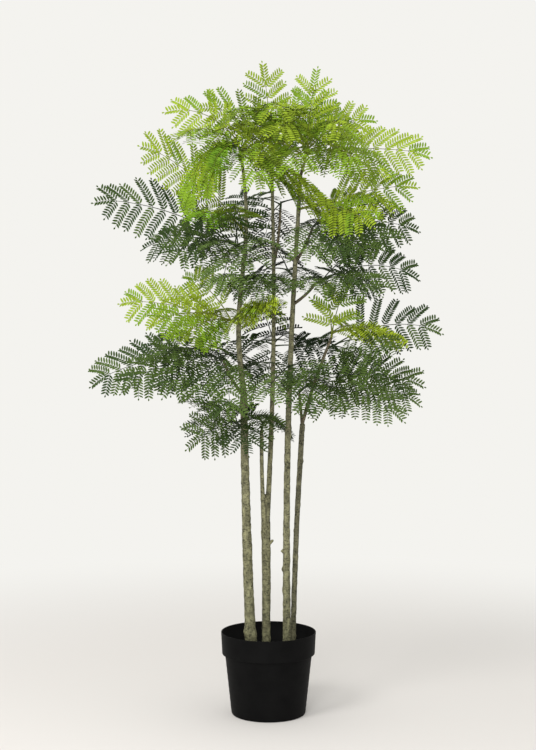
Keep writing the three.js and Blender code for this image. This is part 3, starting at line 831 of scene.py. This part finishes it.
def leaflet_mesh(name, rows, material):
    """Every leaflet of one tint and shade that keeps clear of the limbs, joined."""
    feet, ahead, width, normal = (
        np.concatenate([np.broadcast_to(row[i], (len(row[4]), 3)) for row in rows])
        for i in range(4))
    length = np.concatenate([row[4] for row in rows])
    keep = clear_of_limbs(feet + ahead * length[:, None] * LEAFLET_CLEAR_AT, LEAFLET_CLEARANCE)
    feet, ahead, width, normal, length = (a[keep] for a in (feet, ahead, width, normal, length))
    breadth = LEAFLET_LEAST_WIDTH + (1 - LEAFLET_LEAST_WIDTH) * length / LEAFLET_LENGTH
    half = LEAFLET_WIDTH * 0.5 * breadth
    share, spread, lift = LEAFLET_POINTS.T
    vertices = (feet[:, None]
                + ahead[:, None] * (length[:, None] * share)[..., None]
                + width[:, None] * (half[:, None] * spread)[..., None]
                + normal[:, None] * (2 * half[:, None] * lift)[..., None])
    faces = []
    for first in range(0, len(feet) * len(LEAFLET_POINTS), len(LEAFLET_POINTS)):
        faces.extend([tuple(first + c for c in face) for face in LEAFLET_FACES])
    return add_mesh(name, vertices.reshape(-1, 3), faces, material)


def join_tubes(name, tubes, material):
    vertices, faces, first = [], [], 0
    for points, corner_lists in tubes:
        vertices.append(points)
        faces.extend([[first + c for c in corners] for corners in corner_lists])
        first += len(points)
    return add_mesh(name, np.concatenate(vertices), faces, material)


leaves = {}
ribs = {"lime": [], "dark": []}
nodes_of = {}


def grow_frond(tint, mix, foot, frond, is_folded):
    """Adds a frond's ribs to those of its tint and its leaflets to those of each shade of the mix.

    A pinna that would touch a limb is skipped.
    """
    heading, rise, droop, roll, share = frond
    fold, petiole = 1, PETIOLE_SHARE
    if is_folded:
        fold, petiole = PINNA_FOLD, FOLDED_PETIOLE_SHARE
        roll += math.copysign(FOLDED_TURN, roll)
    rib, axes = frond_rib(foot, heading, rise, droop, roll, share)
    t = np.linspace(0, 1, RIB_RINGS)
    girth = RIB_RADIUS + (RIB_TIP_RADIUS - RIB_RADIUS) * t + RIB_SWELL * np.exp(-t * RIB_SWELL_FADE)
    sides = np.stack([axes(u)[1] for u in t])
    ribs[tint].append(tube(rib(t), girth, sides, RIB_SEGMENTS))
    angles = [fold * angle for angle in PINNA_ANGLES[tint]]
    pinnae = pinna_places(rib, axes, roll, share, angles, petiole, heading + rise)
    for root, out, face, length in pinnae:
        line = pinna_axis(root, out, length, np.linspace(0, 1, PINNA_RINGS))
        if not clear_of_limbs(line, PINNA_CLEARANCE).all():
            continue
        thin = np.linspace(*PINNA_RADII, PINNA_RINGS)
        ribs[tint].append(tube(line, thin, np.broadcast_to(face, line.shape), PINNA_SEGMENTS))
        shade = mix[int(2 + 2 * vary(root[0] + out[2]))]
        leaves.setdefault((tint, shade), []).extend(leaflet_rows(root, out, face, length))


def grow_spray(spray):
    """The twig of a spray with its fronds."""
    tint, shades = spray["tint"], spray["shades"]
    base = limbs[spray["limb"]]["axis"](spray["at"])
    ahead = direction(spray["heading"], spray["rise"])
    steps = np.linspace(0, 1, TWIG_RINGS)
    twig = base + np.multiply.outer(steps, ahead * spray["reach"])
    girth = TWIG_RADIUS + (TWIG_TIP_RADIUS - TWIG_RADIUS) * steps
    sides = np.broadcast_to(np.cross(UP, ahead), twig.shape)
    ribs[tint].append(tube(twig, girth, sides, TWIG_SEGMENTS))
    places = [i + FIRST_NODE for i in range(len(spray["fronds"]))]
    places += [i * FINER_NODE_STEP + FIRST_FINER_NODE for i in range(len(spray["finer"]))]
    for number, frond in enumerate(spray["fronds"] + spray["finer"]):
        mix = SHADE_MIX[tint][shades[number % len(shades)]]
        foot = base + ahead * (spray["reach"] - places[number] * NODE_SPACING)
        grow_frond(tint, mix, foot, frond, number in spray["folded"])
    nodes_of.setdefault(tint, []).append(spray["name"])


for spray in SPRAYS:
    grow_spray(spray)
for tint, tubes in ribs.items():
    material = leaf_material("rib_" + tint, RIB_COLOURS[tint])
    piece = join_tubes("ribs_" + tint, tubes, material)
    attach(piece, "root")
    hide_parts(*nodes_of[tint])
for (tint, shade), rows in sorted(leaves.items()):
    material = leaf_material(f"leaf_{tint}_{shade}", LEAF_COLOURS[tint][shade])
    piece = leaflet_mesh(f"leaflets_{tint}_{shade}", rows, material)
    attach(piece, "root")
    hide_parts(*nodes_of[tint])


# Pot

def arc(centre, radius, start, end, steps):
    """Points of a round corner in section, from one angle to another in degrees."""
    turn = np.radians(np.linspace(start, end, steps))
    return [(centre[0] + radius * math.cos(a), centre[1] + radius * math.sin(a)) for a in turn]


def pot_profile():
    """The wall in section, from the underside's middle out, up, over the lip and down inside."""
    band_foot = POT_HEIGHT - POT_BAND_HEIGHT
    band_radius = POT_MOUTH_RADIUS - POT_BAND_TAPER
    lip = POT_LIP_ROUND
    foot = POT_FOOT_ROUND
    under_band = (POT_BODY_RADIUS + BAND_FILLET, band_foot - BAND_FILLET_DROP)
    band_edge = (band_radius - BAND_ROUND, band_foot + BAND_ROUND_RISE)
    points = [(AXIS_RADIUS, 0.0), (POT_FOOT_RADIUS - POT_FOOT_EDGE, 0.0)]
    points += arc((POT_FOOT_RADIUS - foot, foot), foot, start=-90, end=-8, steps=8)
    for share in np.linspace(*POT_BODY_SHARES, POT_BODY_RINGS):
        ripple = POT_RIPPLE * math.sin(share * 2 * math.pi * POT_RIPPLES)
        radius = POT_FOOT_RADIUS + (POT_BODY_RADIUS - POT_FOOT_RADIUS) * share + ripple
        points.append((radius, band_foot * share))
    points += arc(under_band, BAND_FILLET, start=180, end=90, steps=5)
    points += arc(band_edge, BAND_ROUND, start=-70, end=0, steps=6)
    for share in np.linspace(*BAND_SHARES, BAND_RINGS):
        height = band_foot + BAND_EDGE + (POT_BAND_HEIGHT - BAND_EDGE) * share
        points.append((band_radius + POT_BAND_TAPER * share, height))
    points += arc((POT_MOUTH_RADIUS - lip, POT_HEIGHT - lip), lip, start=0, end=180, steps=12)
    points.append((band_radius - POT_WALL, band_foot + 2 * POT_WALL))
    points.append((POT_BODY_RADIUS - POT_WALL, band_foot + POT_WALL))
    points.append((POT_FOOT_RADIUS - POT_WALL, POT_FLOOR))
    points.append((AXIS_RADIUS, POT_FLOOR))
    return points


def turned(name, profile, material):
    """A piece turned about the pot's axis from a profile of (radius, height)."""
    turn = turns(POT_SEGMENTS)
    rings = [np.stack([r * np.cos(turn), r * np.sin(turn), np.full_like(turn, z)], -1)
             for r, z in profile]
    faces = tube_faces(len(profile), POT_SEGMENTS)
    return add_mesh(name, np.concatenate(rings), faces, material)


pot = turned("pot_moulded", pot_profile(), pot_material())
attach(pot, "root")
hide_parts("pot")


def fill_piece():
    """The cast filling, with an uneven top."""
    inner = POT_FOOT_RADIUS - POT_WALL - 2 * GAP
    slope = (POT_BODY_RADIUS - POT_FOOT_RADIUS) / (POT_HEIGHT - POT_BAND_HEIGHT)
    wall = inner + slope * (GROUND - POT_FLOOR)
    foot = POT_FLOOR + GAP
    profile = [(AXIS_RADIUS, foot), (inner, foot), (wall, GROUND - FILL_EDGE_DROP)]
    shares = np.linspace(FILL_RIM_SHARE, 0.0, FILL_RINGS)[:-1]
    profile += [(wall * share, GROUND) for share in shares] + [(AXIS_RADIUS, GROUND)]
    piece = turned("fill_cast", profile, fill_material())
    for vertex in piece.data.vertices:
        if vertex.co.z > (GROUND - 1) * MM:
            spot = np.array(vertex.co) / MM
            lump = float(noise(spot, FILL_LUMP_SIZE, FILL_SEED))
            vertex.co.z -= MM * (FILL_LUMP_DEPTH + FILL_LUMP_DEPTH * lump)
    return piece


fill = fill_piece()
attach(fill, "root")
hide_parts("pot_fill")


# Stage, light and camera

def floor():
    """A pale floor that fades into the backdrop away from the pot."""
    turn = np.linspace(0, 2 * math.pi, FLOOR_SEGMENTS, endpoint=False)
    ring = np.stack([np.cos(turn), np.sin(turn), 0 * turn], -1) * FLOOR_RADIUS
    material, nodes, links, shader = new_material("floor_pale", "floor")
    shader.inputs["Base Color"].default_value = (*FLOOR_COLOUR, 1)
    coords = nodes.new("ShaderNodeTexCoord")
    away = nodes.new("ShaderNodeVectorMath")
    away.operation = "LENGTH"
    links.new(coords.outputs["Object"], away.inputs[0])
    fade = nodes.new("ShaderNodeMapRange")
    fade.interpolation_type = "SMOOTHSTEP"
    fade.inputs["From Min"].default_value = FLOOR_FADE[0] * MM
    fade.inputs["From Max"].default_value = FLOOR_FADE[1] * MM
    links.new(away.outputs["Value"], fade.inputs["Value"])
    glow = nodes.new("ShaderNodeEmission")
    glow.inputs["Color"].default_value = (*PALE, 1)
    mix = nodes.new("ShaderNodeMixShader")
    links.new(fade.outputs["Result"], mix.inputs["Fac"])
    links.new(shader.outputs["BSDF"], mix.inputs[1])
    links.new(glow.outputs["Emission"], mix.inputs[2])
    links.new(mix.outputs["Shader"], nodes["Material Output"].inputs["Surface"])
    piece = add_mesh("floor", ring, [list(range(len(ring)))], material, smooth=False)


def area_light(name, place, aim, size, power, colour):
    data = bpy.data.lights.new(name, "AREA")
    data.shape = "DISK"
    data.size = size
    data.energy = power
    data.color = colour
    light = bpy.data.objects.new(name, data)
    bpy.context.scene.collection.objects.link(light)
    light.location = place
    light.rotation_euler = (Vector(place) - Vector(aim)).to_track_quat("Z", "Y").to_euler()


def light_and_camera():
    scene = bpy.context.scene
    world = bpy.data.worlds.new("studio")
    scene.world = world
    world.use_nodes = True
    background = world.node_tree.nodes["Background"]
    background.inputs["Color"].default_value = (*PALE, 1)
    background.inputs["Strength"].default_value = 1.0
    for light in LIGHTS:
        area_light(**light)
    scene.view_settings.view_transform = "Standard"
    data = bpy.data.cameras.new("camera")
    data.lens = CAMERA_LENS
    data.sensor_width = CAMERA_SENSOR
    data.clip_end = CAMERA_FAR
    camera = bpy.data.objects.new("camera", data)
    scene.collection.objects.link(camera)
    camera.location = [c * MM for c in CAMERA_PLACE]
    camera.rotation_euler = (math.radians(90 - CAMERA_TILT), 0, 0)
    scene.camera = camera


floor()
light_and_camera()
